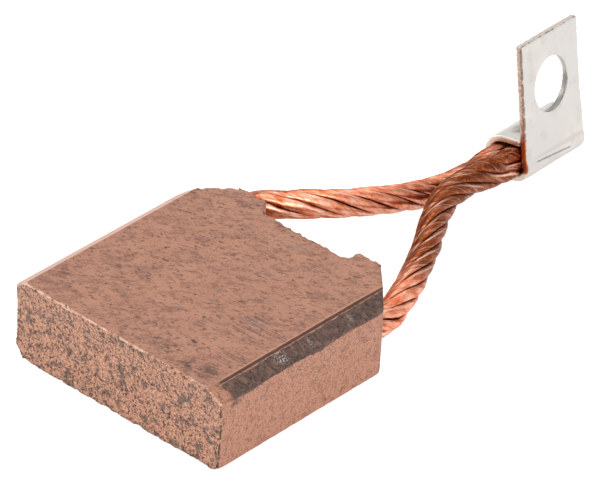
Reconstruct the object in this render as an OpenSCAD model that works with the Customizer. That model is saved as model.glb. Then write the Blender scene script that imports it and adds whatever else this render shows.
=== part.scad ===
// Carbon brush: a pressed copper-graphite block with two stranded copper shunts, whose far ends
// are squeezed together in the folded barrel of one tinned terminal lug.
//
// Millimetres, +Z up. The block lies on its broad face with the origin under its middle.
// +Y runs from the contact face, which bears on the commutator, to the rear face and the shunts.

/* [Block] */
// Width across the block
block_width = 30; // [27:0.5:34]
// Length from the contact face's edges to the rear face
block_length = 30.5; // [25:0.5:40]
// Thickness between the two broad faces
block_thickness = 10; // [9:0.25:12]
// Radius of the commutator that the contact face has bedded to
commutator_radius = 32; // [20:1:80]
// Width of the burnished bevel on the right upper edge
right_bevel_width = 1.8; // [1:0.1:2.5]
// Height of the burnished bevel on the right upper edge
right_bevel_drop = 1.3; // [0.8:0.1:2]
// Height of the pressed step along the top of the right bevel
bevel_step = 0.2; // [0.1:0.05:0.5]
// Width of the worn bevel on the left upper edge
left_bevel_width = 1.4; // [0.5:0.1:2.5]
// Height of the worn bevel on the left upper edge
left_bevel_drop = 0.8; // [0.4:0.1:2]
// Radius of the left lower edge
left_edge_radius = 1.8; // [1:0.1:2.2]
// Radius of the right lower edge
right_edge_radius = 0.6; // [0.4:0.1:1.5]
// Length cut off each rear corner, along the rear face and along the side
corner_cut = 4.8; // [3:0.1:5.5]
// Radius that eases both ends of each corner cut
corner_radius = 2; // [0.5:0.1:3]

/* [Spring recess] */
// Width of the recess floor that the pressure spring bears on
recess_width = 12; // [9:0.25:12.5]
// Depth of the recess below the rear face
recess_depth = 1.85; // [1:0.05:3]
// Distance of the recess's middle from the block's middle, to the right
recess_shift = 1; // [0:0.1:1.2]
// How far the broken left wall of the recess leans outwards
recess_lean = 1.6; // [0.8:0.1:1.8]
// Radius at the foot of the right wall of the recess
recess_radius = 0.5; // [0.2:0.1:0.8]

/* [Shunts] */
// Diameter of each stranded shunt
shunt_diameter = 3.2; // [2.6:0.1:3.6]
// Length of shunt pressed into the block
embedded_length = 8; // [4:0.5:12]
// Clearance round an embedded shunt
embedded_slack = 0.05; // [0.03:0.01:0.1]
// Distance of the left shunt from the block's middle
left_shunt_offset = 9.6; // [9.2:0.1:10.4]
// Height of the left shunt's axis over the lower broad face
left_shunt_height = 7.3; // [6.6:0.1:7.4]
// Distance of the right shunt from the block's middle
right_shunt_offset = 10.8; // [10.2:0.1:11.4]
// Height of the right shunt's axis over the lower broad face
right_shunt_height = 2.7; // [2.4:0.1:3.2]

/* [Terminal lug] */
// Thickness of the tinned sheet
sheet = 0.8; // [0.6:0.05:1]
// Width of the lug along the barrel
lug_width = 11.2; // [9:0.2:14]
// Height of the lug from the underside of the barrel to the top of the tongue
lug_height = 16.6; // [15:0.1:22]
// Diameter of the stud hole
hole_diameter = 6.4; // [5.2:0.1:6.6]
// Distance of the hole's centre below the top of the tongue
hole_drop = 6.35; // [5.2:0.05:7]
// Width of the barrel over the sheet
barrel_width = 5.4; // [5:0.1:6.2]
// Height of the barrel over the sheet
barrel_height = 5.4; // [5:0.1:6]
// Outer radius of the bend between the tongue and the barrel's floor
tongue_bend = 1.8; // [1.5:0.1:2]
// Outer radius of the two bends of the barrel's back wall
back_bend = 2.1; // [1.6:0.1:2.3]
// How far the tongue bend bulges out past the tongue
bulge = 0.2; // [0.1:0.05:0.3]
// Downward slope of the lip that closes the barrel, in degrees
lip_slope = 8; // [4:1:12]
// How far the barrel's back wall reaches out past the tongue at the mouth
mouth_reach = 0.5; // [0.2:0.1:1]
// Gap between the lip's cut end and the tongue
lip_gap = 0.08; // [0.05:0.01:0.2]
// Clearance between the squeezed shunt ends and the barrel's wall
barrel_slack = 0.07; // [0.02:0.01:0.1]
// How far the squeezed shunt ends stop short of the barrel's far end
barrel_margin = 0.4; // [0.2:0.1:1]

/* [Hidden] */
$fn = 96;

overshoot = 1;
rear = block_length / 2;
half_width = block_width / 2;

// Plan points of the spring recess.
recess_left = recess_shift - recess_width / 2;
recess_right = recess_shift + recess_width / 2;
recess_floor = rear - recess_depth;

// The lug stands on the far lower bend of its barrel, leaning back from the shunts.
lug_at = [3.15, rear + 33.4, 1.65];
lug_turn = [-4.9, -11, 6.7];
barrel_top = barrel_height - back_bend;
lip_fall = (barrel_width - back_bend - sheet) * tan(lip_slope);
// The tongue bend ends inside the tongue, between where its two arcs run into it.
tuck_angle = (acos(1 - bulge / tongue_bend) + acos(1 - bulge / (tongue_bend - sheet))) / 2;

// The two squeezed shunt ends fill the barrel side by side.
barrel_room = [barrel_width - 2 * sheet, barrel_height - 2 * sheet - lip_fall];
squeezed_half = [barrel_room.x / 4, barrel_room.y / 2] - [barrel_slack, barrel_slack];
left_end_x = -sheet - barrel_room.x * 3 / 4;
right_end_x = -sheet - barrel_room.x / 4;
end_height = sheet + barrel_room.y / 2;

// The shunts flatten against each other between these distances from the rear face.
merge_from = 24;
merge_to = 31;
shunt_sides = 8;

// Free stretch of each shunt: to the right, back from the rear face, up.
left_run = [
    [-9.5, 1.1, 7.4], [-8.7, 2.1, 7.5], [-7.5, 3.5, 7.4], [-6.2, 5.3, 7.3], [-4.5, 8.1, 6.9],
    [-3.1, 11.7, 6.1], [-2.2, 15.4, 5.2], [-1.9, 18.5, 4.3], [-1.8, 21.5, 3.5],
    [-1.6, 24.6, 2.9], [-1.2, 27.7, 2.8], [-0.8, 30.5, 3.5]
];
right_run = [
    [10.6, 1.7, 2.8], [10.0, 3.7, 3.1], [9.2, 6.0, 3.3], [8.1, 8.4, 3.6], [7.1, 10.6, 4.0],
    [5.9, 12.9, 4.3], [4.5, 15.2, 4.6], [3.0, 17.9, 4.9], [1.8, 20.8, 5.0], [1.2, 24.1, 4.8],
    [1.0, 27.5, 4.4], [1.1, 30.5, 3.9]
];

// Chips along the edges: place along the edge, radius of the bite, depth of the bite.
recess_chips = [
    [-5.6, 0.9, 0.25], [-4.3, 0.7, 0.15], [-2.9, 1.0, 0.3], [-1.5, 0.8, 0.35], [0.4, 1.3, 0.3],
    [1.6, 0.6, 0.2], [3.9, 1.2, 0.25], [4.9, 0.7, 0.35]
];
contact_chips = [[-7.6, 0.9, 0.22], [-6.7, 0.5, 0.15], [-10.9, 0.8, 0.14], [4.2, 1.1, 0.12], [10.4, 1.2, 0.2]];
lower_chips = [[-3.4, 0.9, 0.25], [-1.2, 1.3, 0.3], [3.6, 0.9, 0.35], [8.1, 1.2, 0.2], [11.6, 0.9, 0.3]];

function turned_x(p, a) = [p.x, p.y * cos(a) - p.z * sin(a), p.y * sin(a) + p.z * cos(a)];
function turned_y(p, a) = [p.x * cos(a) + p.z * sin(a), p.y, -p.x * sin(a) + p.z * cos(a)];
function turned_z(p, a) = [p.x * cos(a) - p.y * sin(a), p.x * sin(a) + p.y * cos(a), p.z];

// A direction of the lug's own frame, and a point of it, in the part's frame.
function lug_direction(p) =
    turned_z(turned_y(turned_x(p, lug_turn.x), lug_turn.y), lug_turn.z);
function lug_point(p) = lug_at + lug_direction(p);

function unit(v) = v / norm(v);
function behind(run) = [for (p = run) p + [0, rear, 0]];

// The whole route of a shunt: its embedded end, its free stretch and its end in the barrel.
function route(exit_x, exit_z, run, end_x) = concat(
    [[exit_x, rear - embedded_length, exit_z], [exit_x, rear, exit_z]],
    behind(run),
    [lug_point([end_x, 0, end_height]), lug_point([end_x, lug_width - barrel_margin, end_height])]
);

// How flat a shunt is at a point of its route: 0 is round, 1 fills half of the barrel.
function flatness(p) =
    min(1, max(0, (p.y - rear - merge_from) / (merge_to - merge_from)));
function half_size(p) =
    let (round_half = [shunt_diameter / 2, shunt_diameter / 2])
    round_half + (squeezed_half - round_half) * flatness(p);

function heading(points, i) =
    unit(points[min(i + 1, len(points) - 1)] - points[max(i - 1, 0)]);

// One ring of a shunt, square to its heading, its height along the lug's tongue.
function ring(points, i) =
    let (
        along = heading(points, i),
        side = unit(cross(along, lug_direction([0, 0, 1]))),
        up = cross(side, along),
        half = half_size(points[i])
    )
    [for (k = [0:shunt_sides - 1])
        let (a = 360 * k / shunt_sides)
        points[i] + side * half.x * cos(a) + up * half.y * sin(a)];

// A plain tube swept along the points, closed at both ends.
module tube(points) {
    last = len(points) - 1;
    corner = function (i, k) i * shunt_sides + k % shunt_sides;
    polyhedron(
        points = [for (i = [0:last]) each ring(points, i)],
        faces = concat(
            [[for (k = [0:shunt_sides - 1]) k]],
            [for (i = [0:last - 1], k = [0:shunt_sides - 1])
                [corner(i, k), corner(i + 1, k), corner(i + 1, k + 1)]],
            [for (i = [0:last - 1], k = [0:shunt_sides - 1])
                [corner(i, k), corner(i + 1, k + 1), corner(i, k + 1)]],
            [[for (k = [shunt_sides - 1:-1:0]) corner(last, k)]]
        )
    );
}

// What rounding takes off a square corner at the origin that opens to the right and up.
module corner_waste(radius) {
    difference() {
        translate([-overshoot, -overshoot]) square(radius + overshoot);
        translate([radius, radius]) circle(radius);
    }
}

// Section across the block: bevelled above, rounded below, with the step over the right bevel.
module block_section() {
    difference() {
        translate([-half_width, 0]) square([block_width, block_thickness]);
        translate([-half_width, 0]) corner_waste(left_edge_radius);
        translate([half_width, 0]) mirror([1, 0]) corner_waste(right_edge_radius);
        translate([-half_width, block_thickness])
            polygon([[0, -left_bevel_drop], [left_bevel_width, 0], [left_bevel_width, overshoot],
                     [-overshoot, overshoot], [-overshoot, -left_bevel_drop]]);
        translate([half_width, block_thickness])
            polygon([[0, -right_bevel_drop], [-right_bevel_width, -bevel_step],
                     [-right_bevel_width, overshoot], [overshoot, overshoot],
                     [overshoot, -right_bevel_drop]]);
    }
}

// Waste outside a rear corner: the corner cut, eased into the rear face and the side.
module rear_corner_waste() {
    reach = corner_cut + corner_radius;
    ease = corner_radius * tan(22.5);
    difference() {
        polygon([[-corner_cut - ease, 0], [0, -corner_cut - ease], [overshoot, -reach],
                 [overshoot, overshoot], [-reach, overshoot], [-corner_cut - ease, overshoot]]);
        polygon([[-corner_cut, 0], [0, -corner_cut], [-reach, -reach]]);
        translate([-corner_cut - ease, -corner_radius]) circle(corner_radius);
        translate([-corner_radius, -corner_cut - ease]) circle(corner_radius);
    }
}

// Plan of the spring recess: a leaning broken wall on the left and a rounded foot on the right.
module recess_plan() {
    difference() {
        polygon([[recess_left - recess_lean, rear + overshoot], [recess_left - recess_lean, rear],
                 [recess_left, recess_floor], [recess_right, recess_floor],
                 [recess_right, rear + overshoot]]);
        translate([recess_right, recess_floor]) mirror([1, 0]) corner_waste(recess_radius);
    }
}

// A shallow shell-shaped chip out of an edge, where outwards points away from the edge.
module chip(edge, outwards, radius, depth) {
    translate(edge + unit(outwards) * (radius - depth)) sphere(radius, $fn = 32);
}

module chips() {
    for (c = recess_chips)
        chip([recess_shift + c[0], recess_floor, block_thickness], [0, 1, 1], c[1], c[2]);
    for (c = contact_chips)
        chip([c[0], -rear, block_thickness], [0, -1, 1], c[1], c[2]);
    for (c = lower_chips)
        chip([c[0], -rear, 0], [0, -1, -1], c[1], c[2]);
}

module shunt_socket(exit_x, exit_z) {
    translate([exit_x, rear - embedded_length, exit_z])
        rotate([-90, 0, 0])
            cylinder(h = embedded_length + overshoot, d = shunt_diameter + 2 * embedded_slack);
}

// The cylinder of the commutator, against which the contact face has worn hollow.
module commutator() {
    sagitta_base = sqrt(pow(commutator_radius, 2) - pow(block_thickness / 2, 2));
    translate([-half_width - overshoot, -rear - sagitta_base, block_thickness / 2])
        rotate([0, 90, 0])
            cylinder(h = block_width + 2 * overshoot, r = commutator_radius, $fn = 240);
}

module carbon_block() {
    color("#b98469")
    difference() {
        translate([0, rear, 0])
            rotate([90, 0, 0])
                linear_extrude(block_length + overshoot) block_section();
        commutator();
        translate([0, 0, -overshoot])
            linear_extrude(block_thickness + 2 * overshoot) {
                translate([half_width, rear]) rear_corner_waste();
                translate([-half_width, rear]) mirror([1, 0]) rear_corner_waste();
                recess_plan();
            }
        shunt_socket(-left_shunt_offset, left_shunt_height);
        shunt_socket(right_shunt_offset, right_shunt_height);
        chips();
    }
}

module shunt_left() {
    color("#e07a50")
    tube(route(-left_shunt_offset, left_shunt_height, left_run, left_end_x));
}

module shunt_right() {
    color("#c9673f")
    tube(route(right_shunt_offset, right_shunt_height, right_run, right_end_x));
}

// One bend of the sheet, from one angle to another round its centre.
module bend(centre, outer, from, to) {
    reach = 2 * outer;
    middle = (from + to) / 2;
    translate(centre)
        intersection() {
            difference() {
                circle(outer);
                circle(outer - sheet);
            }
            polygon([[0, 0], reach * [cos(from), sin(from)], reach * [cos(middle), sin(middle)],
                     reach * [cos(to), sin(to)]]);
        }
}

// Section of the folded sheet: tongue, bend under the shunts, floor, back wall and closing lip.
module lug_section() {
    translate([-sheet, tongue_bend]) square([sheet, lug_height - tongue_bend]);
    bend([bulge - tongue_bend, tongue_bend], tongue_bend, -90, tuck_angle);
    translate([back_bend - barrel_width, 0])
        square([barrel_width - back_bend + bulge - tongue_bend, sheet]);
    bend([back_bend - barrel_width, back_bend], back_bend, 180, 270);
    translate([-barrel_width, back_bend]) square([sheet, barrel_top - back_bend]);
    bend([back_bend - barrel_width, barrel_top], back_bend, 90 - lip_slope, 180);
    difference() {
        translate([back_bend - barrel_width, barrel_top])
            rotate(-lip_slope) translate([0, back_bend - sheet]) square([barrel_width, sheet]);
        translate([-sheet - lip_gap, 0]) square([barrel_width, barrel_height]);
    }
}

// Plan of what the slanting cut takes off the mouth: all in front of the tongue, and of a line
// from the tongue out to the back wall.
module mouth_waste() {
    polygon([[bulge + overshoot, 0], [-sheet, 0], [-barrel_width, -mouth_reach],
             [-barrel_width - overshoot, -mouth_reach],
             [-barrel_width - overshoot, -mouth_reach - overshoot],
             [bulge + overshoot, -mouth_reach - overshoot]]);
}

module terminal_lug() {
    color("#dad6d0")
    translate(lug_at) rotate(lug_turn)
    difference() {
        translate([0, lug_width, 0])
            rotate([90, 0, 0]) linear_extrude(lug_width + mouth_reach) lug_section();
        translate([0, 0, -overshoot]) linear_extrude(lug_height + 2 * overshoot) mouth_waste();
        translate([-sheet - overshoot, lug_width / 2, lug_height - hole_drop])
            rotate([0, 90, 0]) cylinder(h = sheet + 2 * overshoot, d = hole_diameter);
    }
}

carbon_block();
shunt_left();
shunt_right();
terminal_lug();
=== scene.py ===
"""Looks of a carbon brush: a pressed copper-graphite block, two stranded shunts and a tinned lug.

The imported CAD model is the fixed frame. Lengths in this file are millimetres, in the frame's
axes, and turn into metres where a mesh, a lamp or the camera is placed.
"""

import logging
import math
from collections.abc import Sequence
from dataclasses import dataclass, field
from enum import Enum

import bmesh
import bpy
import numpy as np
from mathutils import Matrix, Vector, noise

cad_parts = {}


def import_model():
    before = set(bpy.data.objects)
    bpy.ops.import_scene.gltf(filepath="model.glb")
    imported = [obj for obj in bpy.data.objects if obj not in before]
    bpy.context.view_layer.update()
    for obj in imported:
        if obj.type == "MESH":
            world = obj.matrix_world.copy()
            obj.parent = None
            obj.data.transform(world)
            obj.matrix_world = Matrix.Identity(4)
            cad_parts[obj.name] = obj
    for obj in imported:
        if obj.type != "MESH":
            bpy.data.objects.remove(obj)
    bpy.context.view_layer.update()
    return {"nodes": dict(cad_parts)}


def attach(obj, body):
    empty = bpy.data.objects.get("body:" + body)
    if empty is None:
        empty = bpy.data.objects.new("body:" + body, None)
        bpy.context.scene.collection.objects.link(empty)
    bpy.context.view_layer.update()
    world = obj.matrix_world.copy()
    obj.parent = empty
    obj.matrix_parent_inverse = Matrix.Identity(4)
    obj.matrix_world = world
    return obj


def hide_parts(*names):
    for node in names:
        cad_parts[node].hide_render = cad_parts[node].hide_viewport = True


LOG = logging.getLogger("carbon_brush")
MM = 0.001
PER_MM = 1000.0
REAR_FACE = 15.25
BODY = "root"

Point = tuple[float, float, float]
Colour = tuple[float, float, float, float]


def linear(sheet_colour: str) -> Colour:
    """Turns an sRGB hex colour into the linear colour that a shader takes.

    Args:
        sheet_colour: the colour as "#rrggbb".

    Returns:
        Linear red, green, blue and an alpha of 1.
    """
    parts = [int(sheet_colour[i : i + 2], 16) / 255 for i in (1, 3, 5)]
    red, green, blue = (
        c / 12.92 if c <= 0.04045 else ((c + 0.055) / 1.055) ** 2.4 for c in parts
    )
    return red, green, blue, 1.0


def add_node(
    tree: bpy.types.NodeTree,
    kind: str,
    feeds: dict[str | int, object] | None = None,
    **settings: object,
) -> bpy.types.Node:
    """Adds one node with its settings and links.

    Args:
        tree: the node tree that takes the node.
        kind: the node's type name.
        feeds: for each input, another node's output to link or a value to set.
        settings: the node's own properties.

    Returns:
        The new node.
    """
    node = tree.nodes.new(kind)
    for name, value in settings.items():
        setattr(node, name, value)
    for name, value in (feeds or {}).items():
        if isinstance(value, bpy.types.NodeSocket):
            tree.links.new(value, node.inputs[name])
        else:
            node.inputs[name].default_value = value
    return node


def new_material(name: str) -> tuple[bpy.types.Material, bpy.types.NodeTree]:
    """Makes an empty node material.

    Args:
        name: the finish's name.

    Returns:
        The material and its node tree, with nothing in it.
    """
    material = bpy.data.materials.new(name)
    material.use_nodes = True
    material.node_tree.nodes.clear()
    return material, material.node_tree


def millimetre_space(
    tree: bpy.types.NodeTree, stretch: Point = (1, 1, 1), turn: float = 0.0
) -> bpy.types.NodeSocket:
    """Gives Object coordinates in millimetres, so that a scale of 1 is one cell a millimetre.

    Args:
        tree: the material's node tree.
        stretch: extra scale along each axis, above 1 for finer detail.
        turn: how far the grain's own x runs round towards y, in degrees.

    Returns:
        The vector output.
    """
    place = add_node(tree, "ShaderNodeTexCoord")
    turned = add_node(
        tree,
        "ShaderNodeVectorRotate",
        {"Vector": place.outputs["Object"], "Angle": -math.radians(turn)},
        rotation_type="Z_AXIS",
    )
    mapped = add_node(
        tree,
        "ShaderNodeMapping",
        {"Vector": turned.outputs["Vector"], "Scale": tuple(PER_MM * s for s in stretch)},
    )
    return mapped.outputs["Vector"]


def write_attribute(mesh: bpy.types.Mesh, name: str, values: np.ndarray) -> None:
    """Stores one number a vertex for the finishes to read.

    Args:
        mesh: the mesh to store it on.
        name: the attribute's name.
        values: one number for each vertex.
    """
    layer = mesh.attributes.new(name, "FLOAT", "POINT")
    layer.data.foreach_set("value", values.astype(np.float32))


def read_rows(items: bpy.types.bpy_prop_collection, what: str, wide: int) -> np.ndarray:
    """Reads a mesh's vertices, normals or edges as rows of numbers.

    Args:
        items: the mesh's vertices, vertex normals or edges.
        what: the field to read: "co", "vector" or "vertices".
        wide: how many numbers each item holds.

    Returns:
        One row for each item.
    """
    flat = np.empty(len(items) * wide, dtype=np.int32 if what == "vertices" else np.float64)
    items.foreach_get(what, flat)
    return flat.reshape(-1, wide)


def place_points(mesh: bpy.types.Mesh, points: np.ndarray) -> None:
    """Moves a mesh's vertices.

    Args:
        mesh: the mesh to change.
        points: one row of three coordinates for each vertex.
    """
    mesh.vertices.foreach_set("co", points.astype(np.float32).ravel())
    mesh.update()


def new_piece(name: str, shape: bmesh.types.BMesh) -> bpy.types.Object:
    """Turns a bmesh into an object of the scene and frees the bmesh.

    Args:
        name: the piece's name.
        shape: the finished bmesh.

    Returns:
        The new object, at the origin.
    """
    mesh = bpy.data.meshes.new(name)
    shape.to_mesh(mesh)
    shape.free()
    piece = bpy.data.objects.new(name, mesh)
    bpy.context.scene.collection.objects.link(piece)
    return piece


def ease(low: float, high: float, values: np.ndarray) -> np.ndarray:
    """Smooth step from 0 at low to 1 at high.

    Args:
        low: where the result is 0.
        high: where the result is 1.
        values: the numbers to map.

    Returns:
        The eased numbers, from 0 to 1.
    """
    t = np.clip((values - low) / (high - low), 0, 1)
    return t * t * (3 - 2 * t)


def triangle_count(mesh: bpy.types.Mesh) -> int:
    """Counts the triangles that a mesh's faces make."""
    return len(mesh.loops) - 2 * len(mesh.polygons)


def relaxed(points: np.ndarray, edges: np.ndarray, rounds: int) -> np.ndarray:
    """Moves each vertex to the middle of its neighbours, over and over.

    Args:
        points: the vertices.
        edges: the edges, as pairs of vertex numbers.
        rounds: how many times.

    Returns:
        The smoothed vertices.
    """
    ends = np.concatenate([edges, edges[:, ::-1]])
    share = np.bincount(ends[:, 0], minlength=len(points))
    for _ in range(rounds):
        points = np.stack(
            [np.bincount(ends[:, 0], points[ends[:, 1], k], len(points)) / share for k in range(3)],
            axis=1,
        )
    return points


def noise_at(points: np.ndarray, cell: float, shift: float, octaves: int = 3) -> np.ndarray:
    """Gives fractal noise at each point.

    Args:
        points: the places in millimetres.
        cell: the size of its largest lumps in millimetres.
        shift: moves to another part of the noise.
        octaves: how many finer layers are added.

    Returns:
        One number for each point, about -1 to 1.
    """
    places = (points / cell + shift).tolist()
    return np.array([noise.fractal(place, 1.0, 2.0, octaves) for place in places])


def even_copy(source: bpy.types.Object, name: str, scale: float) -> bpy.types.Object:
    """Copies a CAD solid and gives the copy an even, fine mesh that keeps its sharp edges.

    Args:
        source: the CAD node's object, which stays as it is.
        name: the copy's name.
        scale: share of the mesh's finest grid that the solid's longest side fills.

    Returns:
        The copy.
    """
    shape = bmesh.new()
    shape.from_mesh(source.data)
    bmesh.ops.remove_doubles(shape, verts=shape.verts, dist=1e-7)
    piece = new_piece(name, shape)
    remesh = piece.modifiers.new("even_mesh", "REMESH")
    remesh.mode = "SHARP"
    remesh.octree_depth = 8
    remesh.scale = scale
    remesh.sharpness = 1.0
    remesh.use_remove_disconnected = False
    graph = bpy.context.evaluated_depsgraph_get()
    final = bpy.data.meshes.new_from_object(piece.evaluated_get(graph))
    piece.modifiers.clear()
    piece.data = final
    return piece


# ---------------------------------------------------------------- finishes


@dataclass(frozen=True)
class Grain:
    """A solid grain through a finish: its cell size in millimetres, its stretch and its turn."""

    name: str
    cell: float
    detail: float = 3.0
    roughness: float = 0.6
    stretch: Point = (1.0, 1.0, 1.0)
    turn: float = 0.0


@dataclass(frozen=True)
class Line:
    """A straight line across a finish: the distance from a plane square to one axis."""

    name: str
    axis: str
    place: float


@dataclass(frozen=True)
class Coat:
    """One tone over a finish, laid where a grain, line or mark lies between two levels."""

    colour: str
    source: str
    low: float
    high: float
    strength: float = 1.0
    within: str = ""


@dataclass(frozen=True)
class Paintwork:
    """Everything that gives a finish its colour: grains, lines, marks and coats over a base."""

    base: str
    grains: Sequence[Grain]
    coats: Sequence[Coat]
    marks: Sequence[str] = ()
    lines: Sequence[Line] = ()

    def sources(self, tree: bpy.types.NodeTree) -> dict[str, bpy.types.NodeSocket]:
        """Adds the grains, lines and marks.

        Args:
            tree: the material's node tree.

        Returns:
            The output of each, by name.
        """
        found = {}
        for grain in self.grains:
            scale = tuple(s / grain.cell for s in grain.stretch)
            space = millimetre_space(tree, scale, grain.turn)
            found[grain.name] = add_node(
                tree,
                "ShaderNodeTexNoise",
                {
                    "Vector": space,
                    "Scale": 1.0,
                    "Detail": grain.detail,
                    "Roughness": grain.roughness,
                },
            ).outputs[0]
        for mark in self.marks:
            found[mark] = add_node(tree, "ShaderNodeAttribute", attribute_name=mark).outputs["Fac"]
        for line in self.lines:
            parts = add_node(tree, "ShaderNodeSeparateXYZ", {"Vector": millimetre_space(tree)})
            off = add_node(
                tree,
                "ShaderNodeMath",
                {0: parts.outputs[line.axis], 1: line.place},
                operation="SUBTRACT",
            )
            away = add_node(tree, "ShaderNodeMath", {0: off.outputs[0]}, operation="ABSOLUTE")
            found[line.name] = away.outputs[0]
        return found

    def colour(
        self, tree: bpy.types.NodeTree, sources: dict[str, bpy.types.NodeSocket]
    ) -> bpy.types.NodeSocket:
        """Lays the coats over the base, one after the other.

        Args:
            tree: the material's node tree.
            sources: the grains', lines' and marks' outputs, by name.

        Returns:
            The finished colour.
        """
        tone = linear(self.base)
        for coat in self.coats:
            level = add_node(
                tree,
                "ShaderNodeMapRange",
                {
                    "Value": sources[coat.source],
                    "From Min": coat.low,
                    "From Max": coat.high,
                    "To Max": coat.strength,
                },
                interpolation_type="SMOOTHSTEP",
            ).outputs["Result"]
            if coat.within:
                level = add_node(
                    tree,
                    "ShaderNodeMath",
                    {0: level, 1: sources[coat.within]},
                    operation="MULTIPLY",
                ).outputs[0]
            tone = add_node(
                tree,
                "ShaderNodeMix",
                {"Factor": level, 6: tone, 7: linear(coat.colour)},
                data_type="RGBA",
            ).outputs[2]
        return tone


@dataclass(frozen=True)
class CoatedFinish:
    """A finish whose colour is laid in coats, with one grain that may stand out in relief."""

    name: str
    metallic: float
    roughness: float
    paint: Paintwork
    relief_grain: str = ""
    relief: float = 0.0
    relief_depth: float = 0.0

    def material(self) -> bpy.types.Material:
        """Builds the finish from its grains and the piece's own marks."""
        material, tree = new_material(self.name)
        sources = self.paint.sources(tree)
        feeds = {
            "Base Color": self.paint.colour(tree, sources),
            "Metallic": self.metallic,
            "Roughness": self.roughness,
        }
        if self.relief_grain:
            bump = add_node(
                tree,
                "ShaderNodeBump",
                {
                    "Strength": self.relief,
                    "Distance": self.relief_depth * MM,
                    "Height": sources[self.relief_grain],
                },
            )
            feeds["Normal"] = bump.outputs["Normal"]
        shader = add_node(tree, "ShaderNodeBsdfPrincipled", feeds)
        output = add_node(tree, "ShaderNodeOutputMaterial")
        tree.links.new(shader.outputs["BSDF"], output.inputs["Surface"])
        return material


@dataclass(frozen=True)
class CopperGraphite(CoatedFinish):
    """Copper and graphite powder, pressed in a die and sintered.

    It is a dull copper with a faint metal sheen, broken by graphite specks and open pores. The
    ground contact face shows the graphite as a dense net with grey blotches.
    """

    name: str = "pressed_copper_graphite"
    metallic: float = 0.25
    roughness: float = 0.52
    relief_grain: str = "net"
    relief: float = 0.35
    relief_depth: float = 0.03
    paint: Paintwork = Paintwork(
        base="#ad7a62",
        grains=(
            Grain("clouds", 5.0, 4.0, 0.6),
            Grain("haze", 2.0, 6.0, 0.75, (0.6, 1.0, 1.0), 25.0),
            Grain("mottle", 0.8, 5.0, 0.75, (0.6, 1.0, 1.0), 25.0),
            Grain("blotch", 1.25, 4.0, 0.65),
            Grain("specks", 0.36, 3.0, 0.75, (0.5, 1.0, 1.0), 25.0),
            # Graphite flakes are about 0.05 mm: drawn at 0.3 mm, so that they show.
            Grain("net", 0.3, 4.0, 0.8),
            Grain("powder", 0.2, 3.0, 0.9),
            Grain("scratches", 0.2, 2.0, 0.5, (0.04, 1.0, 1.0)),
        ),
        marks=(
            "contact_face", "right_side", "burnished_bevel", "pale_bevel", "worn_edge_highlight",
            "broken_edge", "stain", "smudge", "scratched", "glint", "pits", "upper_right",
        ),
        # Two lines along the step above the right bevel, for painted shade and a painted highlight.
        lines=(Line("step_shade_line", "X", 13.24), Line("lip", "X", 13.08)),
        coats=(
            Coat("#b8846a", "clouds", 0.46, 0.6, 0.6),
            Coat("#916350", "haze", 0.5, 0.6, 0.65),
            # Painted light: the right side is laid lighter than the top, as the light falls on it.
            Coat("#c68d73", "right_side", 0.0, 1.0, 0.75),
            Coat("#cb967b", "powder", 0.5, 0.6, 0.6),
            Coat("#85594a", "mottle", 0.5, 0.6, 0.65),
            Coat("#55392f", "specks", 0.565, 0.64, 0.85),
            Coat("#d69c80", "powder", 0.5, 0.58, 0.5, "right_side"),
            Coat("#7b5040", "powder", 0.47, 0.4, 0.7, "right_side"),
            Coat("#7e7370", "mottle", 0.42, 0.56, 0.65, "smudge"),
            Coat("#6a4a3e", "scratches", 0.52, 0.6, 0.9, "scratched"),
            Coat("#c48f75", "contact_face", 0.2, 0.8, 0.8),
            Coat("#f0b898", "powder", 0.5, 0.58, 0.8, "contact_face"),
            Coat("#6f5d55", "blotch", 0.54, 0.6, 0.85, "contact_face"),
            Coat("#3d2d28", "net", 0.51, 0.57, 0.95, "contact_face"),
            Coat("#553b31", "mottle", 0.4, 0.54, 0.9, "stain"),
            Coat("#513c34", "burnished_bevel", 0.25, 0.6, 0.95),
            Coat("#7d5e50", "mottle", 0.48, 0.6, 0.75, "burnished_bevel"),
            Coat("#2c1f1b", "specks", 0.52, 0.6, 0.85, "burnished_bevel"),
            # Painted highlights: whitish glints.
            Coat("#d8cfca", "powder", 0.54, 0.6, 0.85, "glint"),
            # Painted shade along the step's hollow, and a painted highlight along its edge.
            Coat("#3f2720", "step_shade_line", 0.17, 0.07, 0.9, "upper_right"),
            Coat("#c48c72", "lip", 0.12, 0.05, 0.8, "upper_right"),
            Coat("#e0b7a5", "pale_bevel", 0.3, 0.8, 0.85),
            Coat("#3d2c26", "broken_edge", 0.25, 0.8, 0.85),
            # Pale line on the top-front edges: worn copper with a painted highlight.
            Coat("#ecc4ae", "worn_edge_highlight", 0.25, 0.7, 0.85),
            # Painted shade inside the pits.
            Coat("#2f211c", "pits", 0.3, 0.9, 0.9),
        ),
    )


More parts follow.
